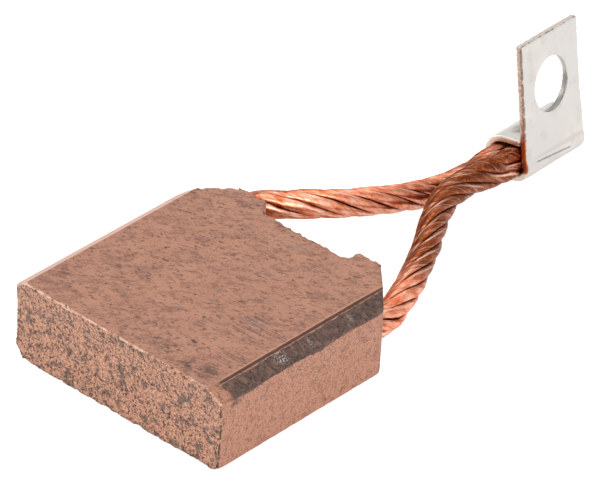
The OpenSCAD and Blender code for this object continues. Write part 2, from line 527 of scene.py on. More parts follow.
@dataclass(frozen=True)
class StrandedCopper(CoatedFinish):
    """Bare drawn copper wire, stranded and left unplated.

    It is a clean metal: bright salmon where new, brown where handled. Painted shade lays it near
    black between the strands, and a pale painted highlight runs along each strand's upper flank.
    """

    name: str = "bare_stranded_copper"
    metallic: float = 1.0
    roughness: float = 0.34
    paint: Paintwork = Paintwork(
        base="#f29a76",
        grains=(
            Grain("patches", 1.3, 4.0, 0.65),
            Grain("flecks", 0.5, 3.0, 0.7),
        ),
        marks=("browning", "strand_gap_shade", "shoulder_highlight", "wire_tone"),
        coats=(
            Coat("#f6bfa6", "patches", 0.5, 0.62, 0.75),
            Coat("#cf6438", "patches", 0.48, 0.38, 0.75),
            Coat("#b9552e", "wire_tone", 0.6, 1.0, 0.5),
            Coat("#8a4626", "browning", 0.1, 0.8, 1.0),
            Coat("#4a2110", "wire_tone", 0.5, 1.0, 0.5, "browning"),
            Coat("#c96f45", "flecks", 0.52, 0.62, 0.8, "browning"),
            Coat("#ffd2ba", "wire_tone", 0.4, 0.0, 0.3),
            # Painted shade: darker the deeper a point lies between the strands.
            Coat("#9c4823", "strand_gap_shade", 0.2, 0.8, 0.7),
            Coat("#2f120a", "strand_gap_shade", 0.5, 1.0, 0.95),
            # Painted highlight along the upper flank of each strand.
            Coat("#ffdcc8", "shoulder_highlight", 0.2, 0.9, 0.75),
        ),
    )


@dataclass(frozen=True)
class TinnedSheet(CoatedFinish):
    """Copper sheet with an electroplated tin coat, sheared and folded after plating.

    The tin is pale, slightly warm and softly smudged. The sheared edges show beige, with a copper
    tint on the cut edge beside the ropes. Painted shade lies on the hole's inner wall and edge, on
    the pressed crease and on the barrel's top.
    """

    name: str = "tin_plated_copper_sheet"
    metallic: float = 1.0
    roughness: float = 0.34
    paint: Paintwork = Paintwork(
        base="#d0ccc7",
        grains=(
            Grain("smudge", 2.4, 4.0, 0.55),
            Grain("film", 5.0, 3.0, 0.5),
            Grain("shear", 0.3, 3.0, 0.7),
        ),
        marks=("sheared", "pale_rim", "burr", "copper_tint_beside_ropes", "hole_and_barrel_shade", "crease", "hole_edge_shade"),
        coats=(
            Coat("#c3beb8", "smudge", 0.5, 0.64, 0.6),
            Coat("#dcd4cf", "film", 0.5, 0.62, 0.6),
            # Painted shade on the hole's inner wall and the barrel's top.
            Coat("#86847f", "hole_and_barrel_shade", 0.0, 1.0, 0.85),
            Coat("#e8dccd", "pale_rim", 0.25, 0.75, 0.9),
            Coat("#c8b2a3", "sheared", 0.25, 0.75, 0.9),
            Coat("#a18778", "shear", 0.5, 0.62, 0.6, "sheared"),
            Coat("#e6d7c8", "shear", 0.46, 0.36, 0.7, "sheared"),
            Coat("#6a574c", "burr", 0.25, 0.8, 0.7),
            # Painted shade along the pressed crease.
            Coat("#7b756f", "crease", 0.3, 0.9, 0.75),
            # Painted shade along the hole's edge.
            Coat("#3c3a38", "hole_edge_shade", 0.3, 0.9, 0.85),
            # Copper tint on the lower cut edge beside the ropes.
            Coat("#b5622f", "copper_tint_beside_ropes", 0.2, 0.8, 0.95),
        ),
    )


@dataclass(frozen=True)
class WhiteSweep:
    """Matt white studio paper, which shows as plain white and takes a faint shadow."""

    name: str = "matt_white_paper"
    paper: str = "#ffffff"
    seen_lift: float = 0.6
    mirrored_lift: float = 0.25

    def material(self) -> bpy.types.Material:
        """Builds the paper, lifted to white only for what the camera and reflections see."""
        material, tree = new_material(self.name)
        rays = add_node(tree, "ShaderNodeLightPath")
        mirrored = add_node(
            tree,
            "ShaderNodeMath",
            {0: rays.outputs["Is Glossy Ray"], 1: self.mirrored_lift},
            operation="MULTIPLY",
        )
        glow = add_node(
            tree,
            "ShaderNodeMath",
            {0: rays.outputs["Is Camera Ray"], 1: self.seen_lift, 2: mirrored.outputs[0]},
            operation="MULTIPLY_ADD",
        )
        paper = add_node(tree, "ShaderNodeBsdfDiffuse", {"Color": linear(self.paper)})
        lit = add_node(
            tree,
            "ShaderNodeEmission",
            {"Color": linear(self.paper), "Strength": glow.outputs[0]},
        )
        both = add_node(
            tree, "ShaderNodeAddShader", {0: paper.outputs["BSDF"], 1: lit.outputs["Emission"]}
        )
        output = add_node(tree, "ShaderNodeOutputMaterial")
        tree.links.new(both.outputs["Shader"], output.inputs["Surface"])
        return material


# ---------------------------------------------------------------- camera and studio


@dataclass
class StudioCamera:
    """A long lens, high on the right of the contact face, looking down along the brush."""

    place: Point = (337.83, -379.16, 356.31)
    right: Point = (0.73692, 0.67443, 0.04574)
    upward: Point = (-0.40464, 0.3859, 0.82906)
    lens: float = 344.84
    sensor: float = 36.0

    def build(self) -> bpy.types.Object:
        """Makes the camera and gives it to the scene.

        Returns:
            The camera object.
        """
        data = bpy.data.cameras.new("studio_camera")
        data.lens = self.lens
        data.sensor_width = self.sensor
        data.clip_start = 0.01
        data.clip_end = 20
        camera = bpy.data.objects.new("studio_camera", data)
        right = Vector(self.right).normalized()
        upward = Vector(self.upward)
        upward = (upward - right * upward.dot(right)).normalized()
        back = right.cross(upward)
        turn = Matrix((right, upward, back)).transposed()
        camera.matrix_world = Matrix.Translation(Vector(self.place) * MM) @ turn.to_4x4()
        bpy.context.scene.collection.objects.link(camera)
        bpy.context.scene.camera = camera
        return camera


@dataclass(frozen=True)
class SoftLamp:
    """One square soft box, aimed at the brush."""

    name: str
    place: Point
    side: float
    power: float
    target: Point = (0.0, 15.0, 5.0)

    def build(self) -> None:
        """Hangs the lamp in its place."""
        data = bpy.data.lights.new(self.name, "AREA")
        data.shape = "SQUARE"
        data.size = self.side * MM
        data.energy = self.power
        lamp = bpy.data.objects.new(self.name, data)
        towards = (Vector(self.target) - Vector(self.place)).to_track_quat("-Z", "Y")
        turn = towards.to_matrix().to_4x4()
        lamp.matrix_world = Matrix.Translation(Vector(self.place) * MM) @ turn
        bpy.context.scene.collection.objects.link(lamp)


@dataclass
class Studio:
    """White paper floor, plain white surround and three soft boxes."""

    floor_half: float = 1500.0
    ambient: float = 0.55
    lamps: Sequence[SoftLamp] = (
        SoftLamp("key_soft_box", (600, -350, 480), 450, 2.6),
        SoftLamp("fill_soft_box", (-650, -350, 400), 500, 1.5),
        SoftLamp("top_soft_box", (-100, 300, 800), 500, 1.6),
    )

    def build(self) -> None:
        """Lays the floor, hangs the lamps and sets the surround and the view transform."""
        sheet = bmesh.new()
        bmesh.ops.create_grid(sheet, x_segments=1, y_segments=1, size=self.floor_half * MM)
        floor = new_piece("studio_floor", sheet)
        floor.data.materials.append(WhiteSweep().material())
        for lamp in self.lamps:
            lamp.build()
        self.surround()
        bpy.context.scene.view_settings.view_transform = "Standard"

    def surround(self) -> None:
        """Makes the white surround: full white where seen or reflected, softer as a light."""
        world = bpy.data.worlds.new("white_surround")
        bpy.context.scene.world = world
        world.use_nodes = True
        tree = world.node_tree
        tree.nodes.clear()
        rays = add_node(tree, "ShaderNodeLightPath")
        seen = add_node(
            tree,
            "ShaderNodeMath",
            {0: rays.outputs["Is Camera Ray"], 1: rays.outputs["Is Glossy Ray"]},
            operation="MAXIMUM",
        )
        shown = add_node(
            tree,
            "ShaderNodeMath",
            {0: seen.outputs[0], 1: rays.outputs["Is Transmission Ray"]},
            operation="MAXIMUM",
        )
        strength = add_node(
            tree,
            "ShaderNodeMapRange",
            {"Value": shown.outputs[0], "To Min": self.ambient, "To Max": 1.0},
        )
        light = add_node(
            tree,
            "ShaderNodeBackground",
            {"Color": (1.0, 1.0, 1.0, 1.0), "Strength": strength.outputs["Result"]},
        )
        output = add_node(tree, "ShaderNodeOutputWorld")
        tree.links.new(light.outputs["Background"], output.inputs["Surface"])


# ---------------------------------------------------------------- shunts


@dataclass
class LugFrame:
    """Where the terminal lug stands, and its own axes: tongue's front, barrel and upward."""

    place: Point = (3.15, REAR_FACE + 33.4, 1.65)
    turn: Point = (-4.9, -11.0, 6.7)

    def matrix(self) -> Matrix:
        """Gives the lug's own axes as columns."""
        about_x, about_y, about_z = (
            Matrix.Rotation(math.radians(angle), 3, axis)
            for angle, axis in zip(self.turn, "XYZ")
        )
        return about_z @ about_y @ about_x

    def point(self, own: Point) -> Point:
        """Turns a point of the lug's own frame into the part's frame.

        Args:
            own: the point in the lug's frame.

        Returns:
            The same point in the part's frame.
        """
        return tuple(Vector(self.place) + self.matrix() @ Vector(own))


@dataclass
class Route:
    """A shunt's centreline: embedded end, free stretch behind the rear face, end in the barrel."""

    exit_x: float
    exit_z: float
    free: Sequence[Point]
    barrel_x: float
    embedded: float = 8.0
    barrel_z: float = 2.524
    barrel_reach: float = 10.8

    def points(self, lug: LugFrame) -> np.ndarray:
        """Lists the route's points.

        Args:
            lug: where the lug stands.

        Returns:
            One row for each point, in millimetres.
        """
        run = [(self.exit_x, REAR_FACE - self.embedded, self.exit_z)]
        run.append((self.exit_x, REAR_FACE, self.exit_z))
        run += [(x, REAR_FACE + y, z) for x, y, z in self.free]
        run.append(lug.point((self.barrel_x, 0.0, self.barrel_z)))
        run.append(lug.point((self.barrel_x, self.barrel_reach, self.barrel_z)))
        return np.array(run)


@dataclass
class Centreline:
    """A smooth curve through a route's points, with an untwisted frame carried along it."""

    points: np.ndarray
    step: float = 0.3
    line: np.ndarray = field(init=False)
    along: np.ndarray = field(init=False)
    heading: np.ndarray = field(init=False)
    upward: np.ndarray = field(init=False)
    sideways: np.ndarray = field(init=False)

    def __post_init__(self) -> None:
        """Runs the curve, spaces it evenly and carries the frame along it."""
        dense = self.curve()
        lengths = np.r_[0, np.cumsum(np.linalg.norm(np.diff(dense, axis=0), axis=1))]
        count = round(lengths[-1] / self.step) + 1
        self.along = np.linspace(0, lengths[-1], count)
        self.line = np.stack([np.interp(self.along, lengths, dense[:, k]) for k in range(3)], 1)
        heading = np.gradient(self.line, axis=0)
        self.heading = heading / np.linalg.norm(heading, axis=1)[:, None]
        self.upward = np.zeros_like(self.line)
        carried = np.array([0.0, 0.0, 1.0])
        for i, ahead in enumerate(self.heading):
            carried = carried - ahead * (carried @ ahead)
            carried = carried / np.linalg.norm(carried)
            self.upward[i] = carried
        self.sideways = np.cross(self.heading, self.upward)

    def curve(self) -> np.ndarray:
        """Passes a smooth curve through the points.

        Returns:
            Closely spaced points of the curve.
        """
        run = []
        last = len(self.points) - 1
        t = np.linspace(0, 1, 40, endpoint=False)[:, None]
        for i in range(last):
            before, start, end, after = (
                self.points[min(max(k, 0), last)] for k in (i - 1, i, i + 1, i + 2)
            )
            run.append(
                0.5
                * (
                    2 * start
                    + (end - before) * t
                    + (2 * before - 5 * start + 4 * end - after) * t**2
                    + (3 * start - before - 3 * end + after) * t**3
                )
            )
        run.append(self.points[-1:])
        return np.concatenate(run)


@dataclass
class StrandSection:
    """Section of one strand: a rounded wedge that touches its neighbours, with wires round it."""

    wires: int = 22
    centre: float = 1.02
    half_height: float = 0.58
    half_width: float = 0.63
    squareness: float = 2.5
    wire_relief: float = 0.042
    sector: float = math.radians(30)

    def outline(self) -> tuple[np.ndarray, np.ndarray]:
        """Walks round the strand's section, evenly by length.

        Returns:
            Points as radius from the rope's middle and distance across, and outward directions.
        """
        angle = np.linspace(0, 2 * math.pi, 1440, endpoint=False)
        power = 2 / self.squareness
        bulge = np.sign(np.cos(angle)) * np.abs(np.cos(angle)) ** power
        out = self.centre + self.half_height * bulge
        across = self.half_width * np.sign(np.sin(angle)) * np.abs(np.sin(angle)) ** power
        flank = np.maximum(out, 0.05) * math.tan(self.sector) * 0.985
        across = np.clip(across, -flank, flank)
        walk = np.stack([out, across], 1)
        closed = np.concatenate([walk, walk[:1]])
        lengths = np.r_[0, np.cumsum(np.linalg.norm(np.diff(closed, axis=0), axis=1))]
        even = np.linspace(0, lengths[-1], len(angle), endpoint=False)
        ring = np.stack([np.interp(even, lengths, closed[:, k]) for k in range(2)], 1)
        ahead = np.roll(ring, -3, 0) - np.roll(ring, 3, 0)
        outward = np.stack([ahead[:, 1], -ahead[:, 0]], 1)
        return ring, outward / np.linalg.norm(outward, axis=1)[:, None]


@dataclass
class StrandedShunt:
    """One bare copper rope: six strands of fine wire laid right-handed round a seventh."""

    name: str
    node: str
    route: Route
    turn_at: Sequence[tuple[float, float]]
    browning: Sequence[tuple[float, float]]
    seed: int
    diameter: float = 3.2
    strands: int = 6
    wire_lay: float = 9.0
    squeezed: tuple[float, float] = (0.94, 1.72)
    squeeze_from: float = 24.0
    squeeze_to: float = 31.0
    section: StrandSection = field(default_factory=StrandSection)

    def build(self, lug: LugFrame, finish: bpy.types.Material) -> bpy.types.Object:
        """Args:
            lug: where the lug stands.
            finish: the rope's material.

        Returns:
            The rope.
        """
        centre = Centreline(self.route.points(lug))
        rope = self.strand_sheets(len(centre.along))
        grid = read_rows(rope.data.vertices, "co", 3)
        row, turn, strand = self.grid_places(grid, len(centre.along))
        points, tones = self.wrapped(centre, lug, row, turn, strand)
        place_points(rope.data, points * MM)
        for tone, values in tones.items():
            write_attribute(rope.data, tone, values)
        self.close(rope)
        rope.data.shade_smooth()
        rope.data.materials.append(finish)
        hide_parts(self.node)
        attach(rope, BODY)
        LOG.info("%s: %.1f mm long, %d faces", self.name, centre.along[-1], len(rope.data.polygons))
        self.centreline = centre
        return rope

    def declare(self, rope: bpy.types.Object, lug_piece: bpy.types.Object) -> None:
        """Does nothing; no cord is declared for the rope.

        Args:
            rope: the rope; not used.
            lug_piece: the lug at its far end; not used.
        """

    def strand_sheets(self, rows: int) -> bpy.types.Object:
        """Makes one flat grid for each strand and the core, to be wrapped into tubes.

        Args:
            rows: how many rings each tube has.

        Returns:
            The grids as one object, each at its own height.
        """
        shape = bmesh.new()
        for strand in range(self.strands + 1):
            bmesh.ops.create_grid(
                shape,
                x_segments=rows - 1,
                y_segments=2 * self.section.wires,
                size=1.0,
                matrix=Matrix.Translation((0, 0, strand)),
            )
        return new_piece(self.name, shape)

    def grid_places(
        self, grid: np.ndarray, rows: int
    ) -> tuple[np.ndarray, np.ndarray, np.ndarray]:
        """Reads each vertex's ring, place round the tube and strand from its flat grid.

        Args:
            grid: the flat grids' vertices.
            rows: how many rings each tube has.

        Returns:
            Ring number, place round the tube and strand number.
        """
        around = 2 * self.section.wires
        row = np.rint((grid[:, 0] + 1) / 2 * (rows - 1)).astype(int)
        turn = np.rint((grid[:, 1] + 1) / 2 * around).astype(int) % around
        return row, turn, np.rint(grid[:, 2]).astype(int)

    def wrapped(
        self,
        centre: Centreline,
        lug: LugFrame,
        row: np.ndarray,
        turn: np.ndarray,
        strand: np.ndarray,
    ) -> tuple[np.ndarray, dict[str, np.ndarray]]:
        """Wraps the grids into laid strands round the centreline.

        Args:
            centre: the rope's centreline.
            lug: where the lug stands.
            row: each vertex's ring.
            turn: each vertex's place round its strand.
            strand: each vertex's strand.

        Returns:
            The wrapped vertices in millimetres, and the tones that the finish reads.
        """
        chance = np.random.default_rng(self.seed)
        ring, outward = self.section.outline()
        around = 2 * self.section.wires
        at = centre.along[row]
        phase = chance.random(self.strands + 1)
        share = (turn / around + at / self.wire_lay + phase[strand]) % 1.0
        pick = (share * len(ring)).astype(int) % len(ring)
        lift = np.where(turn % 2 == 0, 1.0, -1.0) * self.section.wire_relief
        stray = chance.random((self.strands + 1, self.section.wires, 2))
        wire = turn // 2
        lift = lift + 0.014 * np.sin(
            at / (1.6 + 2.5 * stray[strand, wire, 0]) + 2 * math.pi * stray[strand, wire, 1]
        )
        place = ring[pick] + outward[pick] * lift[:, None]
        wander = chance.random((self.strands + 1, 2)) * 2 * math.pi
        lay = np.radians(np.interp(at, *zip(*self.turn_at)))
        lay = lay + (strand * 2 + 1) * math.pi / self.strands
        lay = lay + 0.035 * np.sin(at / 3.1 + wander[strand, 0])
        reach = place[:, 0] * (1 + 0.02 * np.sin(at / 4.3 + wander[strand, 1]))
        core = strand == self.strands
        upward = reach * np.cos(lay) - place[:, 1] * np.sin(lay)
        sideways = reach * np.sin(lay) + place[:, 1] * np.cos(lay)
        around_core = 2 * math.pi * turn / around
        upward = np.where(core, 0.5 * np.cos(around_core), upward)
        sideways = np.where(core, 0.5 * np.sin(around_core), sideways)
        offset = centre.upward[row] * upward[:, None] + centre.sideways[row] * sideways[:, None]
        depth = self.diameter / 2 - np.hypot(place[:, 0], place[:, 1])
        side = place[:, 1] / self.section.half_width
        flicker = 0.65 + 0.35 * np.sin(at / 1.3 + 2 * wander[strand, 0])
        tones = {
            "browning": np.interp(at, *zip(*self.browning)),
            # Painted shade between the strands, by depth under the rope's outer surface; the core
            # is wholly dark.
            "strand_gap_shade": np.where(core, 1.0, ease(0.10, 0.34, depth)),
            # Painted highlight: a pale line on one flank of each strand, near its outer surface.
            "shoulder_highlight": ease(0.3, 0.05, np.abs(side + 0.62)) * ease(0.34, 0.2, depth) * flicker,
            "wire_tone": stray[strand, wire, 0],
        }
        return centre.line[row] + self.squeezed_offset(centre, lug, row, offset), tones

    def squeezed_offset(
        self, centre: Centreline, lug: LugFrame, row: np.ndarray, offset: np.ndarray
    ) -> np.ndarray:
        """Flattens the round rope into its half of the barrel.

        Args:
            centre: the rope's centreline.
            lug: where the lug stands.
            row: each vertex's ring.
            offset: each vertex's offset from the centreline.

        Returns:
            The offsets, flattened where the rope nears the lug.
        """
        tall = np.array(lug.matrix() @ Vector((0, 0, 1)))
        side = np.cross(centre.heading, tall)
        side /= np.linalg.norm(side, axis=1)[:, None]
        height = np.cross(side, centre.heading)
        behind = centre.line[:, 1] - REAR_FACE
        flat = np.clip((behind - self.squeeze_from) / (self.squeeze_to - self.squeeze_from), 0, 1)
        radius = self.diameter / 2
        half_side = radius + (self.squeezed[0] - radius) * flat
        half_height = radius + (self.squeezed[1] - radius) * flat
        power = 2 + 3 * flat
        across = (offset * side[row]).sum(1)
        up = (offset * height[row]).sum(1)
        length = np.maximum(np.hypot(across, up), 1e-9)
        cosine, sine = np.abs(across) / length, np.abs(up) / length
        edge = (
            (cosine / half_side[row]) ** power[row] + (sine / half_height[row]) ** power[row]
        ) ** (-1 / power[row])
        scale = edge / radius
        return side[row] * (across * scale)[:, None] + height[row] * (up * scale)[:, None]

    def close(self, rope: bpy.types.Object) -> None:
        """Welds each tube's seam and closes its ends.

        Args:
            rope: the wrapped rope.
        """
        shape = bmesh.new()
        shape.from_mesh(rope.data)
        bmesh.ops.remove_doubles(shape, verts=shape.verts, dist=1e-8)
        rims = [edge for edge in shape.edges if edge.is_boundary]
        bmesh.ops.holes_fill(shape, edges=rims, sides=0)
        bmesh.ops.recalc_face_normals(shape, faces=shape.faces)
        shape.to_mesh(rope.data)
        shape.free()


# ---------------------------------------------------------------- block


class Trace(Enum):
    """What a marked place shows, worn and handled places and painted glints alike, and the
    attribute that carries it.
    """

    PIT = "pits"
    STAIN = "stain"
    SMUDGE = "smudge"
    GLINT = "glint"
    SCRATCH = "scratched"


@dataclass(frozen=True)
class Mark:
    """One marked place on the block, worn, handled or laid with a painted glint: its middle, its
    reach and how deep it sinks.
    """

    trace: Trace
    place: Point
    reach: Point
    strength: float = 1.0
    sink: float = 0.0


@dataclass(frozen=True)
class WornEdge:
    """A stretch of edges between two corners: how it has broken, and its shine, worn copper with a
    painted highlight.
    """

    low: Point
    high: Point
    breakage: float
    darkness: float = 0.0
    shine: float = 0.0


WORN_EDGES = (
    WornEdge((-16, -16, -1), (16, -14.3, 1.6), 1.15, 0.9),
    WornEdge((-16, -16, 1.6), (-14.4, -14.3, 9.2), 0.5, 0.25),
    WornEdge((14.2, -16, 1.0), (16, -14.2, 9.0), 0.95, 0.85),
    WornEdge((-16, -16, 9.0), (4.5, -14.6, 11), 0.28, 0.1, 1.0),
    WornEdge((4.5, -16, 8.4), (16, -14.6, 11), 0.2, 0.1, 0.55),
    WornEdge((-8.5, 12.4, 8.6), (9.0, 16, 11), 0.95, 0.7),
    WornEdge((12.0, -14.6, 8.0), (16, 16, 11), 0.22, 0.1),
    WornEdge((14.2, -14.2, -1), (16, 16, 1.2), 0.5, 0.25),
    WornEdge((-16, 9.0, 8.0), (-8.5, 16, 11), 0.5, 0.35),
    WornEdge((9.0, 9.0, 8.0), (16, 16, 11), 0.45, 0.2),
)

MARKS = (
    # Pits: each sunk into the surface and laid dark inside as painted shade.
    Mark(Trace.PIT, (-6.4, -1.0, 10), (0.75, 0.22, 0.5), 1.0, 0.10),
    Mark(Trace.PIT, (-8.0, 0.7, 10), (0.30, 0.22, 0.5), 1.0, 0.10),
    Mark(Trace.PIT, (-8.2, -0.1, 10), (0.26, 0.20, 0.5), 0.8, 0.08),
    Mark(Trace.PIT, (6.3, -9.9, 10), (0.60, 0.22, 0.5), 1.0, 0.12),
    Mark(Trace.PIT, (-5.5, 2.8, 10), (0.26, 0.22, 0.5), 0.9, 0.06),
    Mark(Trace.PIT, (5.8, 6.0, 10), (0.30, 0.26, 0.5), 0.9, 0.06),
    Mark(Trace.PIT, (0.4, -3.5, 10), (0.26, 0.22, 0.5), 0.9, 0.06),
    Mark(Trace.PIT, (-2.7, 7.6, 10), (0.24, 0.22, 0.5), 0.8, 0.05),
    Mark(Trace.PIT, (4.1, -2.0, 10), (0.50, 0.18, 0.5), 0.7, 0.04),
    Mark(Trace.PIT, (-7.5, -14.9, 7.2), (0.30, 0.5, 0.30), 1.0, 0.12),
    Mark(Trace.PIT, (15, -3.0, 4.4), (0.5, 0.40, 0.18), 0.7, 0.06),
    Mark(Trace.PIT, (15, 2.2, 3.2), (0.5, 0.45, 0.20), 0.8, 0.06),
    Mark(Trace.PIT, (15, 4.4, 1.4), (0.5, 0.35, 0.18), 0.7, 0.05),
    Mark(Trace.PIT, (15, -9.4, 3.6), (0.5, 0.30, 0.25), 0.6, 0.05),
    Mark(Trace.SMUDGE, (1.2, 10.9, 10), (2.4, 1.2, 1.0), 0.9),
    Mark(Trace.SMUDGE, (6.7, -7.1, 10), (0.9, 0.7, 1.0), 0.8),
    Mark(Trace.SMUDGE, (3.6, 5.1, 10), (1.1, 0.7, 1.0), 0.8),
    Mark(Trace.SMUDGE, (0.9, -6.4, 10), (0.9, 0.6, 1.0), 0.7),
    Mark(Trace.SMUDGE, (1.5, -1.3, 10), (0.9, 0.6, 1.0), 0.7),
    Mark(Trace.SMUDGE, (-3.6, 9.6, 10), (1.0, 0.8, 1.0), 0.6),
    Mark(Trace.SMUDGE, (9.0, -2.8, 10), (2.2, 1.2, 1.0), 0.8),
    Mark(Trace.STAIN, (-12.1, -10.5, 10), (1.3, 1.8, 1.0), 0.75),
    Mark(Trace.STAIN, (-11.8, -13.2, 10), (1.8, 1.0, 1.0), 0.6),
    Mark(Trace.STAIN, (-7.3, 13.0, 10), (1.2, 0.9, 1.0), 0.8),
    Mark(Trace.STAIN, (-6.7, 14.1, 10), (1.3, 0.9, 1.6), 1.0),
    Mark(Trace.STAIN, (9.5, -13.6, 10), (3.4, 1.5, 1.0), 1.0),
    Mark(Trace.STAIN, (11.6, -12.6, 10), (2.4, 2.2, 1.0), 0.9),
    Mark(Trace.STAIN, (4.6, -12.8, 10), (3.6, 1.2, 1.0), 0.6),
    Mark(Trace.STAIN, (-8.6, -4.4, 10), (3.2, 1.6, 1.0), 0.3),
    Mark(Trace.STAIN, (15, -12.9, 8.0), (1.0, 1.2, 1.0), 0.8),
    Mark(Trace.STAIN, (15, -11.2, 8.4), (1.0, 1.3, 0.5), 0.7),
    Mark(Trace.STAIN, (-12.4, -14.9, 3.8), (0.9, 1.0, 0.8), 0.8),
    Mark(Trace.STAIN, (-11.3, -14.9, 2.4), (0.8, 1.0, 0.6), 0.8),
    Mark(Trace.STAIN, (-7.4, -14.9, 4.4), (0.9, 1.0, 0.7), 0.7),
    Mark(Trace.STAIN, (0.3, -14.9, 3.7), (0.9, 1.0, 0.7), 0.7),
    Mark(Trace.STAIN, (-3.1, -14.9, 3.3), (0.8, 1.0, 0.6), 0.7),
    Mark(Trace.STAIN, (10.1, -14.9, 3.6), (1.1, 1.0, 0.8), 0.9),
    Mark(Trace.STAIN, (5.1, -14.9, 1.0), (0.9, 1.0, 0.7), 0.8),
    Mark(Trace.STAIN, (9.6, -14.9, 7.4), (1.0, 1.0, 0.8), 0.6),
    # Painted highlights: whitish glints on the bevel, and on the chips sunk into the top-front
    # edge.
    Mark(Trace.GLINT, (14.0, -4.8, 9.3), (1.2, 1.3, 1.2), 1.0, 0.05),
    Mark(Trace.GLINT, (14.2, -0.3, 9.2), (0.7, 0.5, 0.8), 0.7),
    Mark(Trace.GLINT, (14.2, 6.0, 9.2), (0.7, 0.5, 0.8), 0.7),
    Mark(Trace.GLINT, (-7.6, -15.2, 10), (0.9, 0.4, 0.4), 1.0, 0.18),
    Mark(Trace.GLINT, (-2.6, -15.2, 10), (0.6, 0.35, 0.35), 0.9, 0.14),
    Mark(Trace.GLINT, (3.2, -15.2, 10), (0.5, 0.3, 0.3), 0.8, 0.12),
    Mark(Trace.SCRATCH, (9.6, -3.4, 10), (4.6, 3.4, 1.0), 1.0),
    Mark(Trace.SCRATCH, (10.6, -9.6, 10), (3.0, 2.2, 1.0), 0.7),
)


